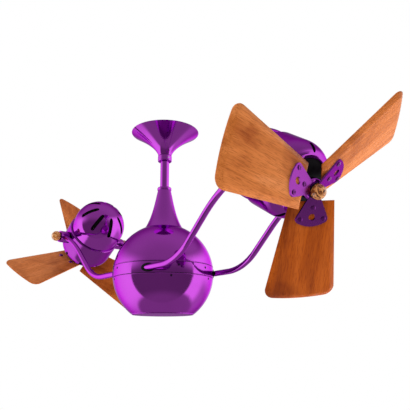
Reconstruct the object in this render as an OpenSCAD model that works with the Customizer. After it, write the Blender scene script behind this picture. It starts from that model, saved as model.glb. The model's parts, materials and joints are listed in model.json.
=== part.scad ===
// Twin head ceiling fan. The origin is the middle of the ceiling face, +Z points up, and the
// two fan heads lie along +X (head A) and -X (head B). All sizes are in millimetres.

/* [Ceiling mount] */
// Outer diameter of the hanging rod, a half inch pipe
rod_d = 21.3; // [19:0.1:24]
// Wall of the hanging rod
rod_wall = 2.8; // [2:0.1:4]
// Distance from the ceiling down to the middle of the round body
body_drop = 351.5; // [330:0.5:600]
// Diameter of the canopy at the ceiling
canopy_d = 166; // [150:1:200]
// Height of the flared canopy
canopy_h = 60; // [55:1:90]
// Radius of the canopy at its lower end
canopy_neck_r = 16.3; // [14:0.1:18]
// Sheet thickness of the canopy
canopy_t = 1.4; // [1:0.1:2.5]
// Outer radius of the collar under the canopy
collar_r = 17; // [16:0.1:20]
// Height of the collar under the canopy
collar_h = 15; // [10:1:20]
// Length of the ceiling bracket
bracket_l = 114; // [108:1:120]
// Width of the ceiling bracket
bracket_w = 40; // [38:1:50]
// Plate thickness of the ceiling bracket
bracket_t = 3; // [2.5:0.1:4]
// Distance between the two ceiling screws
ceiling_screw_span = 88.9; // [80:0.1:92]
// Diameter of a ceiling screw slot
ceiling_screw_d = 5.2; // [4.5:0.1:6]
// End to end length of a ceiling screw slot
ceiling_slot_l = 16; // [12:1:18]
// Diameter of the bolt that carries the rod
hanger_bolt_d = 8; // [6:0.5:9]
// Depth of that bolt under the ceiling
hanger_bolt_z = 24; // [20:1:26]

/* [Body] */
// Outer radius of the round body
body_r = 116.5; // [112:0.5:125]
// Sheet thickness of the body shells
shell_t = 1.5; // [1.2:0.1:2.5]
// Height of the middle band above the middle of the body
band_top = 14; // [12:1:20]
// Depth of the middle band under the middle of the body
band_bottom = 11; // [11:1:16]
// Depth of the flat bottom under the middle of the body
bottom_z = 93.5; // [80:0.5:96]
// Thickness of the bottom cover
cover_t = 2.5; // [1.5:0.1:4]
// Height of the neck top above the middle of the body
neck_top = 201.5; // [185:0.5:210]
// Radius of the neck at its top
neck_r = 15.9; // [15:0.1:18]
// Radius where the neck flows into the round body
shoulder_r = 45; // [38:1:55]
// Height of the cap on the neck
neck_cap_h = 8; // [6:1:12]
// Radius of the cap on the neck
neck_cap_r = 17; // [16:0.1:20]

/* [Arms] */
// Outer diameter of an arm tube
arm_d = 12.7; // [10:0.1:13.5]
// Wall of an arm tube
arm_wall = 1.6; // [1.2:0.1:2.5]
// Half the distance between the two arms of a head
arm_y = 89.8; // [88:0.1:92]
// Distance from the body axis to the start of the upward bend
arm_straight = 126; // [122:0.5:132]
// Centreline radius of the upward bend
arm_bend_r = 131; // [110:1:140]
// Slope of the rising stretch
arm_slope = 41.8; // [38:0.1:44]
// Slope at which an arm meets its knuckle
arm_end_slope = 16; // [0:0.5:25]
// Distance from the body axis to the tilt axis
pivot_x = 376; // [370:1:400]
// Height of the tilt axis above the middle of the body
pivot_h = 138; // [134:0.5:145]
// Outer radius of the knuckle at the end of an arm
knuckle_r = 16; // [15:0.1:18]
// Radius of the trunnion pin
trunnion_r = 6; // [5:0.1:6.5]
// Radius of the ball knobs and of the ball in front of each rotor
ball_r = 13.9; // [12:0.1:15]
// Distance from an arm to the middle of its ball knob
knob_offset = 19.2; // [17:0.1:22]

/* [Fan heads] */
// Downward tilt of head A
tilt_angle_a = 33.4; // [20:0.1:45]
// Downward tilt of head B
tilt_angle_b = 32.2; // [20:0.1:45]
// Turn of the rotor of head A
spin_angle_a = 50.7; // [0:0.1:120]
// Turn of the rotor of head B
spin_angle_b = 95.5; // [0:0.1:120]
// Height of the motor's axis above the tilt axis
axis_rise = 6.3; // [0:0.1:8]
// Outer radius of the motor housing
motor_r = 74; // [72:0.5:75]
// Wall of the motor housing
motor_t = 2; // [1.5:0.1:2.5]
// Length of the front housing ahead of the tilt axis
motor_front = 58; // [54:0.5:59]
// Length of the front housing behind the tilt axis
motor_back = 27; // [24:0.5:36]
// Radius of the opening that shows the front plate
face_r = 49.5; // [44:0.5:52]
// Radius of the rear dome
dome_r = 71.6; // [70:0.1:73]
// Distance from the tilt axis back to the middle of the rear dome
dome_back = 57.5; // [55:0.5:60]
// Number of cooling slots in the rear dome
slot_count = 8; // [6:1:10]
// Width of a cooling slot
slot_w = 10.5; // [6:0.5:11]
// Number of cooling slots in the front shoulder
front_slot_count = 9; // [6:1:10]
// Width of a front cooling slot
front_slot_w = 8; // [5:0.5:9]
// Radius of the motor shaft
shaft_r = 6; // [5:0.1:7]

/* [Blades] */
// Radius from the rotor axis to a blade's outer edge
blade_tip = 221; // [200:1:232]
// Radius from the rotor axis to a blade's inner edge
blade_root = 23; // [21:0.5:25]
// Width of a blade at its inner edge
blade_root_w = 83; // [76:1:90]
// Width of a blade at its outer edge
blade_tip_w = 142; // [120:1:150]
// Thickness of a blade
blade_t = 8; // [6:0.5:9]
// Radius of a blade's outer corners
blade_corner_r = 19; // [12:1:25]
// Radius of the slightly bowed outer edge
blade_end_r = 420; // [300:10:900]
// Pitch of the blades
blade_pitch = 21; // [12:0.5:23]
// Distance from the tilt axis to the front faces of the blade holder
rotor_front = 87; // [86:0.1:92]
// Thickness of the blade holder's paddles
paddle_t = 3; // [2.5:0.1:4]
// Radius from the rotor axis to the inner screw of a paddle
screw_in = 32.7; // [30:0.1:36]
// Radius from the rotor axis to the outer screws of a paddle
screw_out = 54.1; // [50:0.1:58]
// Half the distance between the outer screws
screw_side = 21.4; // [18:0.1:24]
// Radius of a paddle's round window
window_r = 6.5; // [4:0.1:7]
// Radius from the rotor axis to the middle of that window
window_at = 50.2; // [48:0.1:53]
// Diameter of a blade screw
blade_screw_d = 5; // [4:0.5:6]

/* [Fits] */
// Gap between parts that turn past each other
turn_gap = 0.3; // [0.2:0.05:0.5]
// Gap round a shaft in its bearing
run_gap = 0.05; // [0.02:0.01:0.1]
// Gap between parts that are pushed together
seat_gap = 0.1; // [0.05:0.05:0.2]

/* [Hidden] */
$fn = 64;

PURPLE = [0.55, 0.20, 0.65];
WOOD = [0.78, 0.45, 0.26];
STEEL = [0.72, 0.73, 0.75];
DARK = [0.06, 0.06, 0.07];
COPPER = [0.72, 0.42, 0.25];
BURL = [0.60, 0.42, 0.28];
NYLON = [0.90, 0.88, 0.80];

eps = 0.01;
curve_steps = 24;
cut_reach = 400;

rod_r = rod_d / 2;
canopy_r = canopy_d / 2;
canopy_flare = 1.6;
ear_t = 3;
ear_h = hanger_bolt_z + hanger_bolt_d;
ear_w = 24;
ear_gap = rod_r + 1;
rod_top = bracket_t + 8;
screw_r = 2;

// Swivel bearing and what it carries, measured up from the middle of the body
bearing_z = 22;
bearing_w = 15;
bearing_bore = rod_r + 2;
bearing_r = bearing_bore + 13.5;
race_t = 4;
ball_count = 9;
sleeve_flange = 4;
sleeve_h = bearing_w + sleeve_flange + 3;
slip_r = 15;
slip_h = 26;
slip_z = bearing_z - sleeve_flange - slip_h;
brush_w = 10;

drum_r = body_r - 5.5;
drum_t = 3;
drum_top = 22;
drum_bottom = -22;
plate_top = -9;
plate_t = 3;
hub_r = bearing_r + 6;
hub_bore = bearing_r - 5;
hub_top = bearing_z + bearing_w + 4;

cover_r = sqrt(pow(body_r, 2) - pow(bottom_z - cover_t, 2)) - 2;
cover_lip = 8;
shoulder_z = sqrt(pow(body_r, 2) - pow(shoulder_r, 2));

arm_r = arm_d / 2;
clamp_out = arm_r + 2.5;
clamp_l = 2 * sqrt(pow(drum_r - drum_t - 1, 2) - pow(arm_y + clamp_out, 2));
clamp_in = 18;
clamp_h = 2 * -plate_top;
arm_inner_end = 3;
bend_squeeze = 0.05;
lap = 0.2;
knuckle_in = motor_r + 2.3;
knuckle_out = arm_y + 10.3;
socket_depth = knuckle_r - trunnion_r - 2;
arm_end_reach = knuckle_r - socket_depth + seat_gap;
first_bend_x = arm_straight + arm_bend_r * sin(arm_slope);
first_bend_h = arm_bend_r * (1 - cos(arm_slope));
arm_end_turn = arm_slope - arm_end_slope;
end_stub = 2 * lap;
// From the end of the first bend to the tilt axis, met by a line at the end slope
axis_run = pivot_x - first_bend_x;
axis_climb = pivot_h - first_bend_h;
arm_corner_rise = (axis_run * sin(arm_end_slope) - axis_climb * cos(arm_end_slope)) / sin(-arm_end_turn);
corner_to_axis = (axis_climb - arm_corner_rise * sin(arm_slope)) / sin(arm_end_slope);
end_bend_reach = corner_to_axis - arm_end_reach - end_stub;
arm_end_bend_r = end_bend_reach / tan(arm_end_turn / 2);
arm_rise = arm_corner_rise - end_bend_reach;
hole_r = arm_r + 3.2;
clamp_screw_x = clamp_l / 2 - 8;
clamp_screw_in = 12.5;
band_screw_z = band_top - 8;
band_screw_turns = [18, 84, 162];
bowl_screw_z = -band_bottom - 6;
bowl_screw_turns = [26, 74, 154];

// Fan head, measured along its own axis from the tilt axis towards the rotor
pivot_z = pivot_h - body_drop;
shoulder_start = motor_front - 34;
front_slot_back = motor_front - 24;
front_slot_front = motor_front - 1.5;
front_slot_in = face_r + 4.5;
front_slot_turn = 15;
edge_round = 3;
step_r = dome_r - 2.1;
dome_end = -dome_back + 9;
spigot_end = -motor_back + 8;
face_t = 3;
lip_t = 2;
face_z = motor_front - lip_t - face_t;
face_plate_r = face_r + 1.4;
back_plate_z = spigot_end;
back_plate_t = 3;
can_r = 58;
can_t = 2;
can_l = 47;
core_l = 30;
core_z = back_plate_z + back_plate_t + 12;
stator_bore = 42;
coil_h = 9;
air_gap = 0.5;
motor_bearing_r = 16;
motor_bearing_w = 9;
boss_t = 3;
front_bearing_z = face_z - motor_bearing_w + 2;
back_bearing_z = back_plate_z - motor_bearing_w - 1;
trunnion_in = can_r + can_t + 2;
boss_r = 14;
slot_from = dome_back + 25;
slot_to = dome_back + 65;
shaft_back = back_bearing_z - 4;
ball_at = rotor_front + 6.4;
blade_count = 3;
blade_step = 360 / blade_count;
shaft_front = ball_at + 4;
holder_hub_r = 15;
holder_hub_back = face_z + face_t + 6;
paddle_corner_r = 8;
paddle_root = 10;
paddle_root_w = 19;
paddle_arc_r = 48;
paddle_arc_at = 20;
nut_h = 3;
head_h = 1.6;

// Points of an arc from one angle to another round a centre, in the plane of a profile
function arc(centre, rx, ry, from, to, steps) = [
    for (i = [0:steps])
        let (a = from + (to - from) * i / steps)
            [centre[0] + rx * cos(a), centre[1] + ry * sin(a)]
];

// Outer radius of the canopy at a share of its height, from the ceiling down
function canopy_at(share) = canopy_neck_r + (canopy_r - canopy_neck_r) * pow(1 - share, canopy_flare);

// Outer radius of the neck at a share of the way from its top down to the shoulder
function neck_at(share) =
    let (grow = shoulder_r - neck_r)
        neck_r + grow * (0.68 * share + 0.32 * pow(share, 4));

module on_body() {
    translate([0, 0, -body_drop]) children();
}

// A round bar along X, from one place to another
module bar_x(from, to, r) {
    translate([from, 0, 0]) rotate([0, 90, 0]) cylinder(h = to - from, r = r);
}

// A round bar along Y, from one place to another
module bar_y(from, to, r) {
    translate([0, to, 0]) rotate([90, 0, 0]) cylinder(h = to - from, r = r);
}

// A ring standing on its lower face
module ring(h, outer, inner) {
    difference() {
        cylinder(h = h, r = outer);
        translate([0, 0, -eps]) cylinder(h = h + 2 * eps, r = inner);
    }
}

// The space inside the body: a round bowl, cut straight where the drum stands
module body_cavity() {
    intersection() {
        sphere(r = body_r - shell_t, $fn = 128);
        cylinder(h = 2 * body_r, r = drum_r + seat_gap, center = true, $fn = 128);
    }
}

// The solid round body between two heights
module body_slice(low, high) {
    intersection() {
        sphere(r = body_r, $fn = 128);
        translate([0, 0, low]) cylinder(h = high - low, r = body_r + 1);
    }
}

// ---------------------------------------------------------------- ceiling mount

module ceiling_slots() {
    for (side = [-1, 1])
        translate([side * ceiling_screw_span / 2, 0, -bracket_t - eps]) {
            for (end = [-1, 1])
                translate([end * (ceiling_slot_l - ceiling_screw_d) / 2, 0, 0])
                    cylinder(h = bracket_t + 2 * eps, d = ceiling_screw_d);
            translate([0, 0, bracket_t / 2 + eps])
                cube([ceiling_slot_l - ceiling_screw_d, ceiling_screw_d, bracket_t + 2 * eps], center = true);
        }
}

// Plate on the ceiling with two ears that hold the rod's bolt
module ceiling_bracket() {
    color(STEEL) difference() {
        union() {
            translate([-bracket_l / 2 + bracket_w / 2, -bracket_w / 2, -bracket_t])
                cube([bracket_l - bracket_w, bracket_w, bracket_t]);
            for (side = [-1, 1])
                translate([side * (bracket_l - bracket_w) / 2, 0, -bracket_t])
                    cylinder(h = bracket_t, d = bracket_w);
            for (side = [-1, 1])
                translate([-ear_w / 2, side * (ear_gap + ear_t / 2) - ear_t / 2, -ear_h])
                    cube([ear_w, ear_t, ear_h]);
        }
        ceiling_slots();
        translate([0, 0, -bracket_t - eps]) cylinder(h = bracket_t + 2 * eps, r = rod_r - rod_wall);
        translate([0, 0, -hanger_bolt_z])
            bar_y(-ear_gap - 2 * ear_t, ear_gap + 2 * ear_t, hanger_bolt_d / 2 + seat_gap);
    }
}

// Bolt through the ears and the rod, with its nut
module hanger_bolt() {
    reach = ear_gap + ear_t;
    color(STEEL) translate([0, 0, -hanger_bolt_z]) {
        bar_y(-reach - 3, reach + 5, hanger_bolt_d / 2);
        translate([0, -reach, 0]) rotate([90, 0, 0]) cylinder(h = 3, d = 1.6 * hanger_bolt_d, $fn = 6);
        difference() {
            translate([0, reach + 4, 0]) rotate([90, 0, 0]) cylinder(h = 4, d = 1.6 * hanger_bolt_d, $fn = 6);
            bar_y(reach - 1, reach + 6, hanger_bolt_d / 2);
        }
    }
}

// Trumpet shaped cover under the ceiling
module canopy() {
    shares = [for (i = [0:curve_steps]) i / curve_steps];
    outer = [for (s = shares) [canopy_at(s), -s * canopy_h]];
    inner = [for (i = [curve_steps:-1:0])
        let (s = i / curve_steps)
            [max(canopy_at(s) - canopy_t * (1 + 0.5 * (1 - s)), rod_r + turn_gap), -s * canopy_h]];
    color(PURPLE) rotate_extrude($fn = 128) polygon(concat(outer, inner));
}

// Collar on the rod that carries the canopy
module canopy_collar() {
    bead = 2;
    color(PURPLE) translate([0, 0, -canopy_h - collar_h]) difference() {
        rotate_extrude() polygon(concat(
            [[rod_r + seat_gap, 0]],
            arc([collar_r - bead, bead], bead, bead, -90, 0, 6),
            arc([collar_r - bead, collar_h - bead], bead, bead, 0, 90, 6),
            [[rod_r + seat_gap, collar_h]]
        ));
        translate([0, 0, collar_h / 2]) bar_x(-collar_r - 1, collar_r + 1, screw_r);
    }
}

// Two grub screws that hold the collar on the rod
module collar_screws() {
    color(STEEL) translate([0, 0, -canopy_h - collar_h / 2])
        for (side = [0, 180])
            rotate([0, 0, side]) bar_x(rod_r + seat_gap, collar_r - 0.4, screw_r - seat_gap);
}

// Hanging pipe
module downrod() {
    bottom = body_drop - bearing_z + sleeve_flange;
    color(PURPLE) difference() {
        translate([0, 0, -bottom]) ring(bottom - rod_top, rod_r, rod_r - rod_wall);
        translate([0, 0, -hanger_bolt_z]) bar_y(-rod_d, rod_d, hanger_bolt_d / 2 + seat_gap);
    }
}

// ---------------------------------------------------------------- swivel

// Flanged sleeve at the rod's lower end, under the bearing
module rod_sleeve() {
    color(STEEL) on_body() translate([0, 0, bearing_z - sleeve_flange]) {
        ring(sleeve_h, bearing_bore - seat_gap, rod_r + seat_gap);
        ring(sleeve_flange, bearing_bore + race_t, rod_r + seat_gap);
    }
}

module race(outer, inner) {
    mid = (bearing_bore + bearing_r) / 2;
    difference() {
        ring(bearing_w, outer, inner);
        translate([0, 0, bearing_w / 2])
            rotate_extrude() translate([mid, 0]) circle(r = ball_race_r() + run_gap, $fn = 32);
    }
}

function ball_race_r() = (bearing_r - bearing_bore) / 2 - race_t + 1.4;

module bearing_inner() {
    color(STEEL) on_body() translate([0, 0, bearing_z]) race(bearing_bore + race_t, bearing_bore);
}

module bearing_outer() {
    color(STEEL) on_body() translate([0, 0, bearing_z]) race(bearing_r - seat_gap, bearing_r - race_t);
}

// Balls of the swivel bearing
module bearing_balls() {
    mid = (bearing_bore + bearing_r) / 2;
    color(STEEL) on_body() translate([0, 0, bearing_z + bearing_w / 2])
        for (i = [0:ball_count - 1])
            rotate([0, 0, i * 360 / ball_count]) translate([mid, 0, 0])
                sphere(r = ball_race_r() - run_gap, $fn = 32);
}

// Insulated drum with copper tracks that brings power into the turning body
module slip_ring() {
    tracks = 3;
    pitch = slip_h / (tracks + 1);
    color(DARK) on_body() translate([0, 0, slip_z]) difference() {
        cylinder(h = slip_h, r = slip_r);
        for (i = [1:tracks])
            translate([0, 0, i * pitch - 2]) ring(4, slip_r + 1, slip_r - 1);
        translate([0, 0, slip_h - 8]) cylinder(h = 8 + eps, r = rod_r - rod_wall);
    }
}

// Carbon brushes in their holder, on the carrier's bore
module brush_block() {
    color(DARK) on_body() translate([0, 0, slip_z]) intersection() {
        translate([0, -brush_w / 2, 2]) cube([bearing_r, brush_w, slip_h - 4]);
        ring(slip_h, bearing_r - seat_gap, slip_r + turn_gap);
    }
}

// ---------------------------------------------------------------- body

// Bead on the top of the neck
module neck_cap() {
    bead = 2.5;
    color(PURPLE) on_body() translate([0, 0, neck_top])
        rotate_extrude() polygon(concat(
            [[rod_r + turn_gap, 0]],
            arc([neck_cap_r - bead, bead], bead, bead, -90, 0, 6),
            arc([neck_cap_r - bead, neck_cap_h - bead], bead, bead, 0, 90, 6),
            [[rod_r + turn_gap, neck_cap_h]]
        ));
}

// Spun neck and upper half of the body in one piece
module upper_shell() {
    run = neck_top - shoulder_z;
    shares = [for (i = [0:curve_steps]) i / curve_steps];
    outer = [for (s = shares) [neck_at(s), neck_top - s * run]];
    inner = [for (s = shares)
        [max(neck_at(s) - shell_t, rod_r + turn_gap), neck_top - s * run]];
    foot = shoulder_z - 12;
    color(PURPLE) on_body() difference() {
        union() {
            rotate_extrude($fn = 128) polygon(concat([[0, neck_top]], outer, [[0, shoulder_z]]));
            body_slice(band_top, shoulder_z + eps);
        }
        rotate_extrude($fn = 128) polygon(concat(
            [[0, neck_top + 1], [rod_r + turn_gap, neck_top + 1]],
            inner, [[shoulder_r - shell_t, foot], [0, foot]]
        ));
        body_cavity();
        shell_screw_holes();
        edge_groove(band_top);
    }
}

// Small chamfer that shows the joint line between two shells
module edge_groove(z) {
    rotate_extrude($fn = 128) translate([sqrt(pow(body_r, 2) - z * z), z]) circle(r = 0.6, $fn = 4);
}

module at_shell_screws() {
    for (side = [0, 180]) {
        for (turn = band_screw_turns)
            rotate([0, 0, side + turn]) translate([0, 0, band_screw_z]) children();
        for (turn = bowl_screw_turns)
            rotate([0, 0, side + turn]) translate([0, 0, bowl_screw_z]) children();
    }
}

module shell_screw_holes() {
    at_shell_screws() bar_x(drum_r - drum_t - 4, body_r + 2, screw_r);
}

// Small screws round the band and the lower shell
module shell_screws() {
    color(DARK) on_body() at_shell_screws() bar_x(drum_r - drum_t - 2, body_r - 1.5, screw_r - seat_gap);
}

// The four places where the arms go through the body
module at_arm_holes() {
    for (end = [0, 180])
        for (side = [-1, 1])
            rotate([0, 0, end]) translate([0, side * arm_y, 0]) children();
}

module arm_holes(r) {
    at_arm_holes() bar_x(30, body_r + 5, r);
}

// Middle band that the arms come out of
module band() {
    color(PURPLE) on_body() difference() {
        body_slice(-band_bottom, band_top);
        body_cavity();
        arm_holes(hole_r);
        shell_screw_holes();
        edge_groove(band_top);
        edge_groove(-band_bottom);
    }
}

// Rubber rings round the arms in the band's holes
module arm_grommets() {
    lip = 1;
    color(DARK) on_body() intersection() {
        difference() {
            arm_holes(hole_r - seat_gap);
            arm_holes(arm_r + seat_gap);
            cylinder(h = 4 * hole_r, r = drum_r + seat_gap, center = true, $fn = 128);
        }
        sphere(r = body_r + lip, $fn = 128);
    }
}

// Lower bowl of the body, open at the flat bottom
module lower_shell() {
    color(PURPLE) on_body() difference() {
        body_slice(-bottom_z + cover_t, -band_bottom);
        intersection() {
            body_cavity();
            translate([0, 0, -bottom_z + 2 * cover_t]) cylinder(h = body_r, r = body_r);
        }
        translate([0, 0, -bottom_z]) cylinder(h = body_r / 2, r = cover_r - cover_lip);
        shell_screw_holes();
        edge_groove(-band_bottom);
    }
}

// Flat cover that closes the bottom
module bottom_cover() {
    round_r = cover_t - 0.5;
    color(PURPLE) on_body() translate([0, 0, -bottom_z])
        rotate_extrude($fn = 128) polygon(concat(
            [[0, 0]],
            arc([cover_r - round_r, round_r], round_r, round_r, -90, 0, 6),
            [[cover_r, cover_t], [0, cover_t]]
        ));
}

// Drum with a floor and a hub: it turns on the bearing and carries arms and shells
module arm_carrier() {
    color(STEEL) on_body() difference() {
        union() {
            translate([0, 0, drum_bottom]) ring(drum_top - drum_bottom, drum_r, drum_r - drum_t);
            translate([0, 0, plate_top - plate_t]) cylinder(h = plate_t, r = drum_r - drum_t / 2);
            translate([0, 0, plate_top - plate_t]) cylinder(h = hub_top - plate_top + plate_t, r = hub_r);
        }
        translate([0, 0, drum_bottom]) cylinder(h = hub_top - drum_bottom + 1, r = hub_bore);
        translate([0, 0, drum_bottom]) cylinder(h = bearing_z + bearing_w - drum_bottom, r = bearing_r);
        arm_holes(arm_r + turn_gap);
        shell_screw_holes();
        at_clamp_screws() translate([0, 0, drum_bottom]) cylinder(h = -drum_bottom, r = screw_r);
    }
}

module at_clamp_screws() {
    for (side = [-1, 1])
        for (end = [-1, 1])
            translate([end * clamp_screw_x, side * (arm_y - clamp_screw_in), 0]) children();
}

// Two blocks that hold the arms' inner ends on the carrier's floor
module arm_clamps() {
    color(STEEL) on_body() difference() {
        for (side = [-1, 1])
            mirror([0, side < 0 ? 1 : 0, 0]) translate([-clamp_l / 2, arm_y - clamp_in, plate_top])
                cube([clamp_l, clamp_in + clamp_out, clamp_h]);
        for (side = [-1, 1])
            translate([0, side * arm_y, 0]) bar_x(-clamp_l, clamp_l, arm_r + seat_gap);
        at_clamp_screws() translate([0, 0, plate_top - 1]) cylinder(h = clamp_h, r = screw_r);
    }
}

// Screws that hold the clamp blocks from under the carrier's floor
module clamp_screws() {
    color(STEEL) on_body() at_clamp_screws() translate([0, 0, plate_top - plate_t]) {
        cylinder(h = plate_t + 10, r = screw_r - seat_gap);
        translate([0, 0, -2]) cylinder(h = 2, r = 2 * screw_r);
    }
}

// ---------------------------------------------------------------- arms

// A bend that starts at the origin along +X and turns up, round [0, 0, bend]
module rod_bend(bend, turn, r) {
    translate([0, 0, bend]) rotate([90, 0, 0]) rotate([0, 0, -90])
        rotate_extrude(angle = turn) translate([bend, 0]) circle(r = r - bend_squeeze);
}

// The run of an arm in the plane y = 0, as a round bar that can run over at its ends
module arm_run(r, overrun) {
    turn = arm_slope;
    bar_x(arm_inner_end - overrun, arm_straight + lap, r);
    translate([arm_straight, 0, 0]) rod_bend(arm_bend_r, turn, r);
    translate([first_bend_x, 0, first_bend_h])
        rotate([0, -turn, 0]) {
            bar_x(-lap, arm_rise + lap, r);
            translate([arm_rise, 0, 0]) mirror([0, 0, 1]) rod_bend(arm_end_bend_r, arm_end_turn, r);
        }
    translate([pivot_x, 0, pivot_h]) rotate([0, -arm_end_slope, 0])
        bar_x(-arm_end_reach - end_stub - lap, overrun - arm_end_reach, r);
}

module arm_tube() {
    difference() {
        arm_run(arm_r, 0);
        arm_run(arm_r - arm_wall, 1);
    }
}

// end is 0 for head A and 180 for head B; side is the arm's side of that head
module arm(end, side) {
    color(PURPLE) on_body() rotate([0, 0, end]) translate([0, side * arm_y, 0]) arm_tube();
}

module arm_a_left() { arm(0, 1); }
module arm_a_right() { arm(0, -1); }
module arm_b_left() { arm(180, 1); }
module arm_b_right() { arm(180, -1); }

// Short drums at the arm ends, in which the head tilts
module knuckles(end) {
    color(PURPLE) rotate([0, 0, end]) translate([pivot_x, 0, pivot_z])
        for (side = [-1, 1])
            mirror([0, side < 0 ? 1 : 0, 0]) difference() {
                bar_y(knuckle_in, knuckle_out, knuckle_r);
                bar_y(0, knuckle_out + 1, trunnion_r + run_gap);
                translate([0, arm_y, 0]) rotate([0, -arm_end_slope, 0])
                    bar_x(-knuckle_r - 1, -knuckle_r + socket_depth, arm_r + seat_gap);
                translate([0, arm_y + knob_offset, 0]) sphere(r = ball_r + turn_gap);
            }
}

module knuckles_a() { knuckles(0); }
module knuckles_b() { knuckles(180); }

// ---------------------------------------------------------------- fan heads

// Puts a head, built along its motor's axis, at its place on the fan
module place_head(end, tilt) {
    rotate([0, 0, end]) translate([pivot_x, 0, pivot_z])
        rotate([0, tilt, 0]) translate([0, 0, axis_rise]) children();
}

// Moves what is built on the motor's axis down to the tilt axis, once for each side
module at_tilt_axis() {
    for (side = [0, 1])
        translate([0, 0, -axis_rise]) mirror([0, side, 0]) children();
}

// Turns what is built up +Z to the head's own axis
module along_head() {
    rotate([0, 90, 0]) children();
}

// Round front housing with its bosses for the trunnion pins
module front_shell() {
    flat = face_r + 2.5;
    grow = motor_r - flat;
    reach = motor_front - shoulder_start;
    outer = concat(
        arc([motor_r - edge_round, -motor_back + edge_round], edge_round, edge_round, -90, 0, 6),
        arc([flat, shoulder_start], grow, reach, 0, 90, 16)
    );
    inner = concat(
        [[face_r, motor_front], [face_r, motor_front - lip_t]],
        arc([flat - 1, shoulder_start - lip_t], grow + 1 - motor_t, reach, 90, 0, 16),
        [[motor_r - motor_t, -motor_back + 2], [step_r + seat_gap, -motor_back]]
    );
    color(PURPLE) difference() {
        union() {
            along_head() rotate_extrude($fn = 128) polygon(concat(outer, inner));
            at_tilt_axis() bar_y(trunnion_in, knuckle_in - turn_gap, boss_r);
        }
        at_tilt_axis() bar_y(0, knuckle_in, trunnion_r + seat_gap / 2);
        for (i = [0:front_slot_count - 1])
            rotate([front_slot_turn + i * 360 / front_slot_count, 0, 0]) front_slot_cut();
    }
}

// One cooling slot of the front shoulder, with round ends
module front_slot_cut() {
    low = front_slot_back + front_slot_w / 2;
    high = front_slot_front - front_slot_w / 2;
    for (x = [low, high])
        translate([x, 0, 0]) bar_y(front_slot_in, motor_r + 1, front_slot_w / 2);
    translate([low, front_slot_in, -front_slot_w / 2])
        cube([high - low, motor_r + 1 - front_slot_in, front_slot_w]);
}

// Round rear housing with its ring of cooling slots
module rear_shell() {
    t = motor_t;
    color(PURPLE) difference() {
        union() {
            intersection() {
                translate([-dome_back, 0, 0]) sphere(r = dome_r, $fn = 128);
                bar_x(-dome_back - dome_r, dome_end, dome_r + 1);
            }
            bar_x(dome_end - 1, spigot_end, step_r);
        }
        intersection() {
            translate([-dome_back, 0, 0]) sphere(r = dome_r - t, $fn = 128);
            bar_x(-dome_back - dome_r, dome_end + 1, step_r - t);
        }
        bar_x(dome_end, spigot_end + 1, step_r - t);
        for (i = [0:slot_count - 1])
            rotate([i * 360 / slot_count, 0, 0]) slot_cut();
    }
}

// One cooling slot: a straight cut with round ends
module slot_cut() {
    low = -slot_to + slot_w / 2;
    high = -slot_from - slot_w / 2;
    for (x = [low, high])
        translate([x, 0, 0]) bar_y(20, dome_r + 5, slot_w / 2);
    translate([low, 20, -slot_w / 2]) cube([high - low, dome_r, slot_w]);
}

// Black plate in the front opening, which holds the front bearing
module front_plate() {
    color(DARK) difference() {
        union() {
            bar_x(face_z, face_z + face_t, face_plate_r);
            bar_x(front_bearing_z - 1, face_z + eps, motor_bearing_r + boss_t);
        }
        bar_x(front_bearing_z - 2, front_bearing_z + motor_bearing_w, motor_bearing_r + seat_gap / 2);
        bar_x(face_z - 1, face_z + face_t + 1, shaft_r + 3);
    }
}

// Rear plate and motor can in one piece, which hold the stator and the rear bearing
module motor_frame() {
    color(STEEL) difference() {
        union() {
            bar_x(back_plate_z, back_plate_z + back_plate_t, motor_r - motor_t - seat_gap);
            bar_x(back_plate_z, back_plate_z + back_plate_t + can_l, can_r + can_t);
            bar_x(back_bearing_z - 1, back_plate_z + eps, motor_bearing_r + boss_t);
        }
        bar_x(back_plate_z + back_plate_t, back_plate_z + can_l + back_plate_t + 1, can_r);
        bar_x(back_bearing_z, back_plate_z + back_plate_t + 1, motor_bearing_r + seat_gap / 2);
        bar_x(back_bearing_z - 2, back_bearing_z + 1, shaft_r + 3);
    }
}

// Laminated stator with its two wound ends
module stator() {
    color(COPPER) {
        translate([core_z, 0, 0]) along_head() ring(core_l, can_r - seat_gap / 2, stator_bore);
        for (z = [core_z - coil_h, core_z + core_l])
            translate([z, 0, 0]) along_head() ring(coil_h, can_r - 5, stator_bore + 3);
    }
}

module motor_bearings() {
    color(STEEL)
        for (z = [back_bearing_z, front_bearing_z])
            translate([z, 0, 0]) along_head()
                ring(motor_bearing_w, motor_bearing_r, shaft_r + run_gap);
}

// Pins on which the head tilts, screwed into the front housing
module trunnion_pins() {
    color(STEEL) at_tilt_axis() bar_y(trunnion_in, arm_y + knob_offset + 3, trunnion_r);
}

// Ball knobs that lock the tilt
module ball_knobs() {
    color(BURL) at_tilt_axis() difference() {
        translate([0, arm_y + knob_offset, 0]) sphere(r = ball_r);
        bar_y(0, arm_y + knob_offset + 3, trunnion_r + seat_gap / 2);
    }
}

// ---------------------------------------------------------------- rotors

module shaft() {
    color(STEEL) bar_x(shaft_back, shaft_front, shaft_r);
}

// Rotor iron on the shaft
module rotor_core() {
    color(STEEL) translate([core_z, 0, 0]) along_head()
        ring(core_l, stator_bore - air_gap, shaft_r + seat_gap / 2);
}

// Lays a flat outline, drawn as radius and side, on the face of a pitched blade
module on_blade(turn) {
    rotate([turn, 0, 0]) translate([rotor_front, 0, 0]) rotate([0, blade_pitch, 0])
        rotate([90, 0, 90]) children();
}

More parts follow.
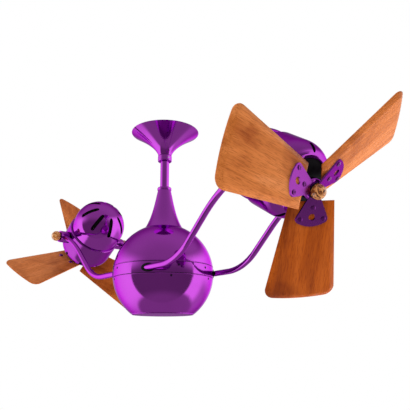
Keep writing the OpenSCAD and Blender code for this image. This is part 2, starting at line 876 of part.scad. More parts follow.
// Outline of one paddle: narrow at the hub, two round corners and a bowed outer edge
module paddle_outline() {
    reach = [screw_out - paddle_root, screw_side - paddle_root_w / 2];
    run = norm(reach);
    lean = atan2(reach[1], reach[0]) + asin(paddle_corner_r / run);
    edge = [screw_out - paddle_corner_r * sin(lean), screw_side + paddle_corner_r * cos(lean)];
    side = screw_side + paddle_corner_r;
    tip_at = paddle_arc_at + sqrt(pow(paddle_arc_r, 2) - pow(screw_side, 2));
    intersection() {
        translate([paddle_arc_at, 0]) circle(r = paddle_arc_r, $fn = 128);
        polygon([
            [paddle_root, -paddle_root_w / 2], [edge[0], -edge[1]], [tip_at, -screw_side],
            [paddle_arc_at + paddle_arc_r, -screw_side / 2], [paddle_arc_at + paddle_arc_r, screw_side / 2],
            [tip_at, screw_side], [edge[0], edge[1]], [paddle_root, paddle_root_w / 2]
        ]);
    }
    for (s = [-1, 1])
        translate([screw_out, s * screw_side]) circle(r = paddle_corner_r);
}

module at_blade_screws() {
    translate([screw_in, 0, 0]) children();
    for (s = [-1, 1])
        translate([screw_out, s * screw_side, 0]) children();
}

// Hub with three pitched paddles, cast in one piece
module blade_holder(spin) {
    color(PURPLE) difference() {
        union() {
            bar_x(holder_hub_back, rotor_front, holder_hub_r);
            for (i = [0:blade_count - 1])
                on_blade(spin + i * blade_step) translate([0, 0, -paddle_t])
                    linear_extrude(paddle_t) paddle_outline();
        }
        bar_x(holder_hub_back - 1, rotor_front + 10, shaft_r + seat_gap / 2);
        translate([ball_at, 0, 0]) sphere(r = ball_r + seat_gap);
        for (i = [0:blade_count - 1])
            on_blade(spin + i * blade_step) {
                translate([window_at, 0, -paddle_t - 1]) cylinder(h = paddle_t + 2, r = window_r);
                at_blade_screws() translate([0, 0, -paddle_t - 1])
                    cylinder(h = paddle_t + 2, d = blade_screw_d + 2 * seat_gap);
            }
    }
}

// Half width of a blade at a radius from the rotor axis
function blade_half(at) =
    let (share = (at - blade_root) / (blade_tip - blade_root))
        (blade_root_w + (blade_tip_w - blade_root_w) * share) / 2;

// Outline of a wooden blade: a tapered board with a bowed end and round corners
module blade_outline() {
    flare = atan2((blade_tip_w - blade_root_w) / 2, blade_tip - blade_root);
    r = blade_corner_r;
    at = blade_tip - r;
    side = blade_half(at) - r / cos(flare);
    sag = blade_end_r - sqrt(pow(blade_end_r, 2) - pow(side, 2));
    shift = sag * 0.8;
    corner = [at - shift, side - shift * tan(flare)];
    lean = asin(corner[1] / (blade_end_r - r));
    centre = corner[0] - (blade_end_r - r) * cos(lean);
    up = arc(corner, r, r, lean, 90 + flare, 8);
    bow = arc([centre, 0], blade_end_r, blade_end_r, -lean, lean, 12);
    down = [for (i = [len(up) - 1:-1:0]) [up[i][0], -up[i][1]]];
    polygon(concat(
        [[blade_root, blade_root_w / 2], [blade_root, -blade_root_w / 2]],
        down, bow, up
    ));
}

module blade(turn) {
    color(WOOD) on_blade(turn) difference() {
        translate([0, 0, -paddle_t - blade_t]) linear_extrude(blade_t) blade_outline();
        at_blade_screws() translate([0, 0, -paddle_t - blade_t - 1])
            cylinder(h = blade_t + 2, d = blade_screw_d + 2 * seat_gap);
    }
}

// Nine screws of a rotor, each with its cap nut behind the blade
module blade_screws(spin) {
    back = -paddle_t - blade_t;
    color(DARK)
        for (i = [0:blade_count - 1])
            on_blade(spin + i * blade_step) at_blade_screws() {
                translate([0, 0, back - nut_h]) cylinder(h = nut_h - back, d = blade_screw_d);
                cylinder(h = head_h, d = 1.8 * blade_screw_d);
                translate([0, 0, back - nut_h]) cylinder(h = nut_h, d = 1.7 * blade_screw_d);
            }
}

// Ball on the end of the shaft
module hub_ball() {
    color(BURL) difference() {
        translate([ball_at, 0, 0]) sphere(r = ball_r);
        bar_x(0, shaft_front, shaft_r + seat_gap / 2);
    }
}

module head_a() { place_head(0, tilt_angle_a) children(); }
module head_b() { place_head(180, tilt_angle_b) children(); }

ceiling_bracket();
hanger_bolt();
canopy();
canopy_collar();
collar_screws();
downrod();
rod_sleeve();
bearing_inner();
bearing_balls();
slip_ring();
neck_cap();
upper_shell();
band();
lower_shell();
bottom_cover();
arm_carrier();
bearing_outer();
brush_block();
arm_clamps();
clamp_screws();
shell_screws();
arm_grommets();
arm_a_left();
arm_a_right();
arm_b_left();
arm_b_right();
knuckles_a();
knuckles_b();
head_a() rear_shell();  // rear_shell_a
head_a() front_shell();  // front_shell_a
head_a() front_plate();  // front_plate_a
head_a() motor_frame();  // motor_frame_a
head_a() stator();  // stator_a
head_a() trunnion_pins();  // trunnion_pins_a
head_a() ball_knobs();  // ball_knobs_a
head_a() motor_bearings();  // motor_bearings_a
head_a() shaft();  // shaft_a
head_a() rotor_core();  // rotor_core_a
head_a() blade_holder(spin_angle_a);  // blade_holder_a
head_a() blade(spin_angle_a);  // blade_a1
head_a() blade(spin_angle_a + blade_step);  // blade_a2
head_a() blade(spin_angle_a + 2 * blade_step);  // blade_a3
head_a() blade_screws(spin_angle_a);  // blade_screws_a
head_a() hub_ball();  // hub_ball_a
head_b() rear_shell();  // rear_shell_b
head_b() front_shell();  // front_shell_b
head_b() front_plate();  // front_plate_b
head_b() motor_frame();  // motor_frame_b
head_b() stator();  // stator_b
head_b() trunnion_pins();  // trunnion_pins_b
head_b() ball_knobs();  // ball_knobs_b
head_b() motor_bearings();  // motor_bearings_b
head_b() shaft();  // shaft_b
head_b() rotor_core();  // rotor_core_b
head_b() blade_holder(spin_angle_b);  // blade_holder_b
head_b() blade(spin_angle_b);  // blade_b1
head_b() blade(spin_angle_b + blade_step);  // blade_b2
head_b() blade(spin_angle_b + 2 * blade_step);  // blade_b3
head_b() blade_screws(spin_angle_b);  // blade_screws_b
head_b() hub_ball();  // hub_ball_b
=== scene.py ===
import json
import math

import bmesh
import bpy
from mathutils import Matrix, Vector


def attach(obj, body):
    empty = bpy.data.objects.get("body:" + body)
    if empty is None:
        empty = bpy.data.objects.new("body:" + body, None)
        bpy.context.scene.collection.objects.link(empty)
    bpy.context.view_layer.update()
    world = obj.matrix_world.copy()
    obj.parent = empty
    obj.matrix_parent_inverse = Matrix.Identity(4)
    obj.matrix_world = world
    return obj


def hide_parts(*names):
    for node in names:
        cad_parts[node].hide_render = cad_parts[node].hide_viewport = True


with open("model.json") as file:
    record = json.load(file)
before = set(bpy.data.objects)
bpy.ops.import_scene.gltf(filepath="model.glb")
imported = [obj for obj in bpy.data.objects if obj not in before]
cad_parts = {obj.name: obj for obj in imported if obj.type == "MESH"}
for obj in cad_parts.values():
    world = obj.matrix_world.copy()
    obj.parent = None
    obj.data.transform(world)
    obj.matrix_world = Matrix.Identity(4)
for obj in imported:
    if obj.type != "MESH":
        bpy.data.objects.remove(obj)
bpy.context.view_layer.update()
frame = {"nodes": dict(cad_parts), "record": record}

# Sizes shared with the CAD model, in metres, measured as part.scad measures them
BODY_DROP = 0.3515
BODY_R = 0.1165
PIVOT_X = 0.376
PIVOT_Z = 0.138 - BODY_DROP
AXIS_RISE = 0.0063
TILT = {"a": 33.4, "b": 32.2}
SPIN = {"a": 50.7, "b": 95.5}
ROTOR_FRONT = 0.087
BALL_AT = ROTOR_FRONT + 0.0064
PADDLE_T = 0.003
BLADES = 3
BLADE_T = 0.008
BLADE_ROOT = 0.023
BLADE_TIP = 0.221
BLADE_ROOT_W = 0.083
BLADE_TIP_W = 0.142
BLADE_CORNER_R = 0.019
BLADE_END_R = 0.420
BLADE_PITCH = 21
CORNER_SHIFT = 0.8  # how far the tip's corners move in, as a share of the bowed end's sag
SCREW_IN = 0.0327
SCREW_OUT = 0.0541
SCREW_SIDE = 0.0214
BAND_TOP = 0.014
BAND_BOTTOM = 0.011
SHELL_T = 0.002
DOME_R = 0.0716
DOME_BACK = 0.0575
MOTOR_R = 0.074
MOTOR_FRONT = 0.058
FACE_R = 0.0495
KNUCKLE_OUT = 0.0898 + 0.0103

# The soft edges of a blade: a tight round behind and a broad fall in front
BACK_EDGE = 0.0020
BACK_STEPS = 6
FRONT_EDGE = 0.0120
FRONT_FALL = 0.0056
FRONT_CURVE = 1.5
FRONT_STEPS = 8
CORNER_STEPS = 12
END_STEPS = 20

# The wood: how dark each board is, partly its own tone and partly painted shade for how it faces
# the light, where each is cut from, and a dark cloud in the second of head A
BLADE_TONE_AND_SHADE = {"a": (0.16, 0.0, 1.0), "b": (0.45, 0.66, 0.25)}
GRAIN_STEP = (3.1, 1.7, 2.3)
GRAIN_SHIFT = {"a": 0, "b": 7.3}
DARK_CLOUD = (GRAIN_STEP[0] + 0.178, GRAIN_STEP[1] - 0.021, GRAIN_STEP[2] - 0.003)

# Small parts
BLADE_SCREW_R = 0.0045
BLADE_SCREW_H = 0.0016
NUT_R = 0.0052
NUT_RIM = 0.0016
NUT_DOME_R = 0.0042
NUT_DOME_H = 0.0028
SHELL_SCREW_R = 0.0027
SHELL_SCREW_H = 0.0011
SHELL_SCREW_SUNK = 0.0003
# Height above the body's middle, and degrees round it on either half
SHELL_SCREWS = ((0.006, (18, 84, 162)), (-0.017, (26, 74, 154)))
SCREW_FOOT = 0.0004
BLADE_CROSS = (0.0050, 0.0013, 0.0009)  # length, width and depth of a recess
BLADE_CROSS_AT = 0.0017
SHELL_CROSS = (0.0030, 0.0009, 0.0006)
SHELL_CROSS_AT = 0.0011
SEAM_R = 0.00055
SEAM_SUNK = 0.0003
BEAD_R = 0.0009
BEAD_SUNK = 0.0006
BEAD_AWAY = 0.0013
# Thickness of the black sheets of painted shade inside the heads
SHADE_SHEET_T = 0.0006
# Dark rings of painted shade where the hub ball meets the holder and the knobs meet the knuckles
BALL_SHADE_RING_R = 0.0136
BALL_SHADE_RING_AT = BALL_AT - 0.0052
KNOB_SHADE_RING_R = 0.0118
KNOB_SHADE_RING_AT = KNUCKLE_OUT + 0.0004
SHADE_RING_THICK = 0.0011

# Closed profiles of turned parts, as (radius, height along the axis)
HUB_COLLAR = [
    (0.0146, 0.0665), (0.0158, 0.0665), (0.0190, 0.0705), (0.0196, 0.0720), (0.0196, 0.0800),
    (0.0189, 0.0818), (0.0172, 0.0828), (0.0146, 0.0828), (0.0146, 0.0665)]
# The pin collar is black, painted shade between knuckle and housing
PIN_SHADE_COLLAR = [
    (0.0141, 0.0725), (0.0160, 0.0728), (0.0164, 0.0758), (0.0141, 0.0759), (0.0141, 0.0725)]

ON_AXIS = 1e-7  # a smaller radius in a profile is a point on the axis
MERGE = 1e-6
SHARP_ANGLE = math.radians(40)
BLADE_SHARP_ANGLE = math.radians(60)

WHITE = (1, 1, 1)
FLOOR_SIZE = 60
FLOOR_Z = -2.3
SOFT_LIGHT = 0.42
MIDDLE = Vector((0, 0, -0.25))
LAMPS = {  # place, size and power
    "key": ((1.0, 2.1, -1.5), (1.3, 1.3), 42),
    "edge": ((-0.25, 2.05, -1.5), (0.7, 0.7), 58),
    "front": ((2.4, -2.4, 0.6), (1.4, 1.6), 46),
    "left": ((-1.6, -2.4, -0.7), (0.9, 1.8), 30),
    "top": ((-0.4, 0.3, 2.2), (2.0, 2.0), 24),
}

# The photograph's view
CAMERA_AT = (0.98067, -0.67616, -0.50700)
CAMERA_TOWARDS = Vector((-0.7635, 0.5926, 0.2538))
CAMERA_LENS = 44.9
CAMERA_SHIFT = (0.0315, 0.0095)


# ---------------------------------------------------------------- node helpers

def new_material(name):
    mat = bpy.data.materials.new(name)
    mat.use_nodes = True
    tree = mat.node_tree
    return mat, tree, tree.nodes["Principled BSDF"]


def add(tree, kind, **values):
    node = tree.nodes.new(kind)
    for key, value in values.items():
        setattr(node, key, value)
    return node


def set_inputs(target, **values):
    """Sets plain numbers and colours on sockets, named with _ for each space."""
    for key, value in values.items():
        target.inputs[key.replace("_", " ")].default_value = value


def object_coords(tree):
    return add(tree, "ShaderNodeTexCoord").outputs["Object"]


def stretched(tree, coords, along, across):
    node = add(tree, "ShaderNodeMapping")
    node.inputs["Scale"].default_value = (along, across, across)
    tree.links.new(coords, node.inputs["Vector"])
    return node.outputs["Vector"]


def noise(tree, vector, scale=1.0, detail=4.0, distortion=0.0):
    node = add(tree, "ShaderNodeTexNoise")
    set_inputs(node, Scale=scale, Detail=detail, Distortion=distortion)
    tree.links.new(vector, node.inputs["Vector"])
    return node.outputs["Fac"]


def ramp(tree, source, stops):
    node = add(tree, "ShaderNodeValToRGB")
    elements = node.color_ramp.elements
    while len(elements) < len(stops):
        elements.new(0.5)
    for element, (at, colour) in zip(elements, stops):
        element.position = at
        element.color = (*colour, 1)
    tree.links.new(source, node.inputs[0])
    return node.outputs["Color"]


def map_range(tree, source, start, end, low, high, kind="LINEAR"):
    """Goes from low to high while the source goes from start to end."""
    node = add(tree, "ShaderNodeMapRange", interpolation_type=kind)
    set_inputs(node, From_Min=start, From_Max=end, To_Min=low, To_Max=high)
    tree.links.new(source, node.inputs["Value"])
    return node.outputs["Result"]


def to_range(tree, source, low, high):
    return map_range(tree, source, 0, 1, low, high)


def math_values(tree, operation, first, second):
    node = add(tree, "ShaderNodeMath", operation=operation)
    tree.links.new(first, node.inputs[0])
    tree.links.new(second, node.inputs[1])
    return node.outputs[0]


def multiply_values(tree, first, second):
    return math_values(tree, "MULTIPLY", first, second)


def add_values(tree, first, second):
    return math_values(tree, "ADD", first, second)


def blend_values(tree, share, first, second):
    """Goes from first, an output or a plain number, to second."""
    node = add(tree, "ShaderNodeMix", data_type="FLOAT")
    tree.links.new(share, node.inputs["Factor"])
    if isinstance(first, bpy.types.NodeSocket):
        tree.links.new(first, node.inputs["A"])
    else:
        node.inputs["A"].default_value = first
    tree.links.new(second, node.inputs["B"])
    return node.outputs["Result"]


def multiply_colours(tree, first, second, share):
    node = add(tree, "ShaderNodeMix", data_type="RGBA", blend_type="MULTIPLY")
    node.inputs["Factor"].default_value = share
    tree.links.new(first, node.inputs["A"])
    tree.links.new(second, node.inputs["B"])
    return node.outputs["Result"]


def bump(tree, height, strength, distance, bsdf):
    node = add(tree, "ShaderNodeBump")
    set_inputs(node, Strength=strength, Distance=distance)
    tree.links.new(height, node.inputs["Height"])
    tree.links.new(node.outputs["Normal"], bsdf.inputs["Normal"])


def mix_shaders(tree, share, first, second):
    node = add(tree, "ShaderNodeMixShader")
    for source, socket in zip((share, first, second), node.inputs):
        tree.links.new(source, socket)
    return node.outputs[0]


def seen_directly(tree, path):
    """One for rays from the camera and for those that pass through glass."""
    return math_values(
        tree, "MAXIMUM", path.outputs["Is Camera Ray"], path.outputs["Is Transmission Ray"])


# ---------------------------------------------------------------- materials

def speckled(name, dark, light, scale, metallic, rough, depth, specular=0.5):
    """A surface whose colour, gloss and fine relief all vary with noise."""
    mat, tree, bsdf = new_material(name)
    coords = object_coords(tree)
    broad = noise(tree, coords, scale)
    fine = noise(tree, coords, scale * 14, detail=3)
    tree.links.new(ramp(tree, broad, [(0.3, dark), (0.7, light)]), bsdf.inputs["Base Color"])
    tree.links.new(to_range(tree, fine, *rough), bsdf.inputs["Roughness"])
    set_inputs(bsdf, Metallic=metallic, Specular_IOR_Level=specular)
    bump(tree, fine, 0.25, depth, bsdf)
    return mat


def purple_metal(name, dark, light, rough):
    """Polished metal under a clear purple lacquer, with faint orange peel and polishing haze."""
    mat, tree, bsdf = new_material(name)
    coords = object_coords(tree)
    broad = noise(tree, coords, scale=9, detail=3)
    haze = noise(tree, coords, scale=60, detail=5, distortion=0.6)
    peel = noise(tree, coords, scale=260, detail=2)
    tree.links.new(ramp(tree, broad, [(0.25, dark), (0.75, light)]), bsdf.inputs["Base Color"])
    tree.links.new(to_range(tree, haze, *rough), bsdf.inputs["Roughness"])
    set_inputs(
        bsdf, Metallic=1.0, Specular_Tint=(0.72, 0.30, 0.80, 1),
        Coat_Weight=0.08, Coat_Roughness=0.03)
    bump(tree, peel, 0.05, 0.0001, bsdf)
    return mat


def wood(name):
    """Varnished reddish wood. The grain runs along the blade, by the coordinates on its mesh."""
    mat, tree, bsdf = new_material(name)
    coords = add(tree, "ShaderNodeAttribute", attribute_name="grain").outputs["Vector"]
    tone_and_shade = add(tree, "ShaderNodeAttribute", attribute_name="tone_and_shade").outputs["Fac"]
    figure = noise(tree, stretched(tree, coords, 3.5, 30), detail=5, distortion=0.9)
    streaks = noise(tree, stretched(tree, coords, 14, 420), detail=5, distortion=0.3)
    pores = noise(tree, stretched(tree, coords, 60, 1100), detail=3)
    clouds = noise(tree, coords, scale=9, detail=3, distortion=0.8)
    pale = ramp(tree, figure, [
        (0.30, (0.56, 0.156, 0.030)), (0.50, (0.69, 0.212, 0.050)), (0.72, (0.80, 0.280, 0.086))])
    deep_and_shaded = ramp(tree, figure, [
        (0.30, (0.34, 0.058, 0.002)), (0.50, (0.46, 0.086, 0.003)), (0.72, (0.58, 0.125, 0.010))])
    # The pale wood blends towards a darker copy by each board's darkness, partly its own tone and
    # partly painted shade
    base = add(tree, "ShaderNodeMix", data_type="RGBA")
    tree.links.new(tone_and_shade, base.inputs["Factor"])
    tree.links.new(pale, base.inputs["A"])
    tree.links.new(deep_and_shaded, base.inputs["B"])

    # The dark cloud's ragged rim: distance from its middle, plus noise of up to 35 mm
    away = add(tree, "ShaderNodeVectorMath", operation="DISTANCE")
    away.inputs[1].default_value = DARK_CLOUD
    tree.links.new(coords, away.inputs[0])
    rough_edge = noise(tree, stretched(tree, coords, 30, 60))
    ragged = add_values(tree, away.outputs["Value"], to_range(tree, rough_edge, -0.035, 0.035))
    cloud = map_range(tree, ragged, 0.004, 0.032, 0, 1, "SMOOTHSTEP")

    shade = base.outputs["Result"]
    for source, stops, share in (
        (clouds, [(0.30, (0.62, 0.50, 0.34)), (0.50, WHITE)], 0.9),
        (streaks, [(0.32, (0.66, 0.55, 0.42)), (0.58, WHITE)], 0.5),
        (pores, [(0.36, (0.50, 0.36, 0.24)), (0.46, WHITE)], 0.7),
        (cloud, [(0.0, (0.68, 0.52, 0.34)), (1.0, WHITE)], 0.9),
    ):
        shade = multiply_colours(tree, shade, ramp(tree, source, stops), share)
    tree.links.new(shade, bsdf.inputs["Base Color"])
    tree.links.new(to_range(tree, streaks, 0.50, 0.40), bsdf.inputs["Roughness"])
    set_inputs(bsdf, Specular_IOR_Level=0.13, Coat_Weight=0.03, Coat_Roughness=0.15)
    bump(tree, pores, 0.25, 0.0001, bsdf)
    return mat


def burl(name):
    """Polished burl: swirls of gold, brown and near black under clear varnish."""
    mat, tree, bsdf = new_material(name)
    coords = object_coords(tree)
    swirl = noise(tree, coords, scale=95, detail=6, distortion=2.2)
    eyes = add(tree, "ShaderNodeTexVoronoi")
    eyes.inputs["Scale"].default_value = 210
    tree.links.new(coords, eyes.inputs["Vector"])
    base = ramp(tree, swirl, [
        (0.35, (0.045, 0.012, 0.003)), (0.44, (0.30, 0.080, 0.014)),
        (0.54, (0.60, 0.22, 0.050)), (0.70, (0.84, 0.46, 0.19))])
    spots = ramp(tree, eyes.outputs["Distance"], [(0.05, (0.35, 0.20, 0.10)), (0.26, WHITE)])
    tree.links.new(multiply_colours(tree, base, spots, 0.7), bsdf.inputs["Base Color"])
    tree.links.new(to_range(tree, swirl, 0.30, 0.16), bsdf.inputs["Roughness"])
    set_inputs(bsdf, Coat_Weight=0.6, Coat_Roughness=0.05)
    bump(tree, swirl, 0.15, 0.0002, bsdf)
    return mat


LACQUER = ((0.45, 0.061, 0.54), (0.52, 0.071, 0.62))
PURPLE_METALS = {  # dark and light colour, and roughness
    "purple_metal": (*LACQUER, (0.05, 0.13)),
    "satin_purple": (*LACQUER, (0.36, 0.46)),
    # A darker copy of the lacquer: painted dark reflection on the front shells
    "dark_reflection_purple": ((0.34, 0.045, 0.41), (0.40, 0.053, 0.48), (0.07, 0.17)),
    "holder_aluminium": ((0.24, 0.035, 0.29), (0.31, 0.045, 0.37), (0.20, 0.32)),
}
SPECKLED = {  # dark and light colour, scale, metallic, roughness, depth of relief and specular
    "black_plate": (
        (0.002, 0.002, 0.002), (0.006, 0.005, 0.007), 60, 0.0, (0.30, 0.42), 0.0002, 0.08),
    "steel": ((0.42, 0.42, 0.44), (0.58, 0.58, 0.60), 45, 1.0, (0.28, 0.42), 0.0001),
    "stator_winding": ((0.30, 0.12, 0.05), (0.62, 0.30, 0.16), 120, 0.9, (0.35, 0.55), 0.0004),
    "dark_screw": ((0.045, 0.012, 0.055), (0.10, 0.03, 0.12), 120, 1.0, (0.25, 0.40), 0.0001),
    "screw_metal": ((0.17, 0.024, 0.20), (0.27, 0.040, 0.32), 150, 1.0, (0.22, 0.34), 0.0001),
    # Near black for the band's joint lines, and for rings of painted shade round the balls
    "rubber": ((0.003, 0.003, 0.003), (0.009, 0.008, 0.009), 90, 0.0, (0.55, 0.75), 0.0003, 0.15),
    "insulator": ((0.02, 0.02, 0.02), (0.05, 0.05, 0.05), 80, 0.0, (0.45, 0.60), 0.0002),
    # Near black for the sheets and collars of painted shade in the heads
    "shade_black": (
        (0.0015, 0.0015, 0.0015), (0.004, 0.004, 0.004), 70, 0.0, (0.7, 0.9), 0.0002, 0.05),
}
materials = {name: purple_metal(name, *values) for name, values in PURPLE_METALS.items()}
materials |= {name: speckled(name, *values) for name, values in SPECKLED.items()}
materials |= {"blade_wood": wood("blade_wood"), "burl_ball": burl("burl_ball")}

# CAD nodes that look different from the rest of their slot; the front shells get a darker copy of
# the lacquer as painted dark reflection
LOOKS = {
    "bottom_cover": "satin_purple", "front_shell_a": "dark_reflection_purple", "front_shell_b": "dark_reflection_purple"}

for entry in frame["record"]["subparts"]:
    obj = frame["nodes"][entry["node"]]
    obj.data.materials.clear()
    obj.data.materials.append(materials[LOOKS.get(entry["node"], entry["material_slot"])])


# ---------------------------------------------------------------- places on the heads

def pivot_matrix(side):
    """Middle of a head's tilt axis, with the head facing outwards along local X."""
    turn = 0 if side == "a" else math.pi
    return Matrix.Rotation(turn, 4, "Z") @ Matrix.Translation((PIVOT_X, 0, PIVOT_Z))


def head_matrix(side):
    """Motor's axis along local X, at the tilt of rest."""
    tilt = Matrix.Rotation(math.radians(TILT[side]), 4, "Y")
    return pivot_matrix(side) @ tilt @ Matrix.Translation((0, 0, AXIS_RISE))


def along_head(side):
    """Turns what is drawn up the local Z axis to the motor's axis of a head."""
    return head_matrix(side) @ Matrix.Rotation(math.pi / 2, 4, "Y")


def blade_matrix(side, index):
    """Takes radius, side and height above the paddle's front face to a blade's place."""
    turn = math.radians(SPIN[side] + 360 / BLADES * index)
    return (
        head_matrix(side)
        @ Matrix.Rotation(turn, 4, "X")
        @ Matrix.Translation((ROTOR_FRONT, 0, 0))
        @ Matrix.Rotation(math.radians(BLADE_PITCH), 4, "Y")
        @ Matrix(((0, 0, 1, 0), (1, 0, 0, 0), (0, 1, 0, 0), (0, 0, 0, 1)))
    )


# ---------------------------------------------------------------- mesh helpers

def arc(cx, cy, r, start, end, steps):
    turns = [start + (end - start) * i / steps for i in range(steps + 1)]
    return [(cx + r * math.cos(a), cy + r * math.sin(a)) for a in turns]


def join_loops(mesh, lower, upper):
    """Fills the gap between two closed loops of as many vertices."""
    for i in range(len(lower)):
        j = (i + 1) % len(lower)
        mesh.faces.new((lower[i], lower[j], upper[j], upper[i]))


def lathe(mesh, profile, matrix, segments=20):
    """Adds a turned solid to a bmesh. The profile is a list of (radius, height)."""
    rings = []
    for radius, height in profile:
        if radius < ON_AXIS:
            rings.append([mesh.verts.new(matrix @ Vector((0, 0, height)))])
        else:
            turns = [2 * math.pi * i / segments for i in range(segments)]
            rings.append([
                mesh.verts.new(
                    matrix @ Vector((radius * math.cos(a), radius * math.sin(a), height)))
                for a in turns
            ])
    for lower, upper in zip(rings, rings[1:]):
        if len(lower) == len(upper):
            join_loops(mesh, lower, upper)
            continue
        for i in range(segments):
            j = (i + 1) % segments
            if len(lower) == 1:
                mesh.faces.new((lower[0], upper[j], upper[i]))
            else:
                mesh.faces.new((lower[i], lower[j], upper[0]))


def merge(mesh):
    """Closes profiles that end where they began."""
    bmesh.ops.remove_doubles(mesh, verts=mesh.verts, dist=MERGE)


def ring(mesh, place, radius, height, thick, segments=48, steps=10):
    """Adds a round wire bent to a circle about the local Z axis."""
    lathe(mesh, arc(radius, height, thick, 0, 2 * math.pi, steps), place, segments)
    merge(mesh)


def screw_head(radius, height):
    """Profile of a low domed screw head that starts at height 0."""
    dome = [(radius * math.cos(a), height * (0.35 + 0.65 * math.sin(a)))
            for a in (math.radians(8 + 82 * k / 6) for k in range(6))]
    return [(0, -SCREW_FOOT), (radius, -SCREW_FOOT)] + dome + [(0, height)]


def cap_nut(base):
    """Profile of a domed nut that hangs down from height base."""
    shoulder = base - NUT_RIM
    dome = [(NUT_DOME_R * math.cos(a), shoulder - NUT_DOME_H * math.sin(a))
            for a in (math.radians(90 * k / 6) for k in range(6))]
    return [(0, base), (NUT_R, base), (NUT_R, shoulder)] + dome + [(0, shoulder - NUT_DOME_H)]


def cross(mesh, length, width, depth, matrix):
    """Adds a plus-shaped prism that reaches as far below height 0 as above it."""
    l, w = length / 2, width / 2
    outline = [(l, -w), (l, w), (w, w), (w, l), (-w, l), (-w, w),
               (-l, w), (-l, -w), (-w, -w), (-w, -l), (w, -l), (w, -w)]
    low, high = [
        [mesh.verts.new(matrix @ Vector((x, y, z))) for x, y in outline] for z in (-depth, depth)]
    mesh.faces.new(list(reversed(low)))
    mesh.faces.new(high)
    join_loops(mesh, low, high)


def to_object(mesh, name):
    """Turns a bmesh into an object of the scene."""
    data = bpy.data.meshes.new(name)
    mesh.to_mesh(data)
    mesh.free()
    obj = bpy.data.objects.new(name, data)
    bpy.context.scene.collection.objects.link(obj)
    return obj


def finish_piece(mesh, name, material, body, angle=SHARP_ANGLE):
    """Turns a bmesh into a piece with a material that rides on a body."""
    bmesh.ops.recalc_face_normals(mesh, faces=mesh.faces)
    obj = to_object(mesh, name)
    obj.data.shade_smooth()
    obj.data.set_sharp_from_angle(angle=angle)
    obj.data.materials.append(materials[material])
    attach(obj, body)
    return obj


def cut(obj, mesh):
    """Takes the solids of a bmesh out of an object, for good."""
    cutter = to_object(mesh, "cutter")
    modifier = obj.modifiers.new("cut", "BOOLEAN")
    modifier.operation = "DIFFERENCE"
    modifier.solver = "EXACT"
    modifier.object = cutter
    bpy.context.view_layer.update()
    evaluated = obj.evaluated_get(bpy.context.evaluated_depsgraph_get())
    cleaned = bpy.data.meshes.new_from_object(evaluated)
    obj.modifiers.clear()
    obj.data = cleaned
    cleaned.set_sharp_from_angle(angle=SHARP_ANGLE)
    bpy.data.objects.remove(cutter)


# ---------------------------------------------------------------- blades

def blade_half(at):
    """Half the board's width at a radius."""
    share = (at - BLADE_ROOT) / (BLADE_TIP - BLADE_ROOT)
    return (BLADE_ROOT_W + (BLADE_TIP_W - BLADE_ROOT_W) * share) / 2


def blade_outline(inset):
    """The CAD blade's outline, moved inwards by inset."""
    slope = (BLADE_TIP_W - BLADE_ROOT_W) / 2 / (BLADE_TIP - BLADE_ROOT)
    flare = math.atan(slope)
    r = BLADE_CORNER_R
    at = BLADE_TIP - r
    side = blade_half(at) - r / math.cos(flare)
    sag = BLADE_END_R - math.sqrt(BLADE_END_R ** 2 - side ** 2)
    shift = sag * CORNER_SHIFT
    cx, cy = at - shift, side - shift * slope
    lean = math.asin(cy / (BLADE_END_R - r))
    centre = cx - (BLADE_END_R - r) * math.cos(lean)
    up = arc(cx, cy, r - inset, lean, math.pi / 2 + flare, CORNER_STEPS)
    bow = arc(centre, 0, BLADE_END_R - inset, -lean, lean, END_STEPS)
    down = [(x, -y) for x, y in reversed(up)]
    root = BLADE_ROOT + inset
    half = blade_half(root) - inset / math.cos(flare)
    return [(root, half), (root, -half)] + down + bow[1:-1] + up


def blade_rings():
    """Inset and height of the board's outlines, from its back face to its front face."""
    back, front = -PADDLE_T - BLADE_T, -PADDLE_T
    turns = [math.pi / 2 * k / BACK_STEPS for k in range(BACK_STEPS + 1)]
    rings = [(BACK_EDGE * (1 - math.sin(a)), back + BACK_EDGE * (1 - math.cos(a))) for a in turns]
    shares = [k / FRONT_STEPS for k in range(FRONT_STEPS + 1)]
    return rings + [(FRONT_EDGE * s, front - FRONT_FALL * (1 - s) ** FRONT_CURVE) for s in shares]


def make_blade(side, index):
    """A board with broad soft edges in front and tight ones behind."""
    mesh = bmesh.new()
    layers = [
        [mesh.verts.new((x, y, z)) for x, y in blade_outline(inset)] for inset, z in blade_rings()]
    for lower, upper in zip(layers, layers[1:]):
        join_loops(mesh, lower, upper)
    mesh.faces.new(list(reversed(layers[0])))
    mesh.faces.new(layers[-1])
    obj = finish_piece(
        mesh, f"blade_board_{side}{index + 1}", "blade_wood", f"rotor_{side}", BLADE_SHARP_ANGLE)
    data = obj.data
    # How dark the board is: partly its own tone, partly painted shade for how it faces the light
    tone_and_shade = data.attributes.new("tone_and_shade", "FLOAT", "POINT")
    grain = data.attributes.new("grain", "FLOAT_VECTOR", "POINT")
    offset = Vector([step * index for step in GRAIN_STEP]) + Vector((GRAIN_SHIFT[side], 0, 0))
    for vertex in data.vertices:
        grain.data[vertex.index].vector = vertex.co + offset
        tone_and_shade.data[vertex.index].value = BLADE_TONE_AND_SHADE[side][index]
    data.transform(blade_matrix(side, index))
    obj.visible_glossy = False
    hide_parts(f"blade_{side}{index + 1}")


